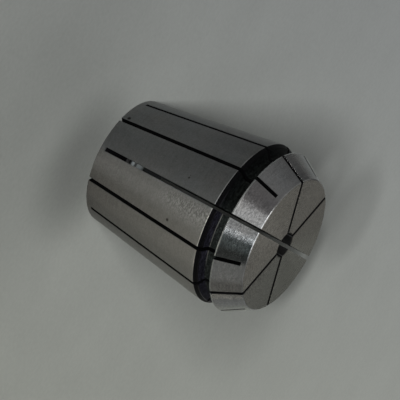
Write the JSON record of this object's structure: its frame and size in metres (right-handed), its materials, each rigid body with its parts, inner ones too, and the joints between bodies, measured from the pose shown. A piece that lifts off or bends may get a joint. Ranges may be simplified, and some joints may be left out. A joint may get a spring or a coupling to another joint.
{
  "type": "er collet",
  "caption": "Turned steel spring collet: long 8 degree rear taper, extraction groove, 30 degree front cone, flat front face and alternating saw slots around a clamping bore.",
  "frame": {"origin": "centre of the small rear face, on the bore axis", "axes": "+Z along the bore axis, from the rear face to the front face; a front slot lies along -Y"},
  "size_m": [0.041, 0.041, 0.046],
  "materials": {
    "ground_steel": "cylindrically ground outside, left black from hardening in the groove, slots and bores"
  },
  "bodies": {
    "root": {"collet": "ground_steel"}
  },
  "joints": []
}
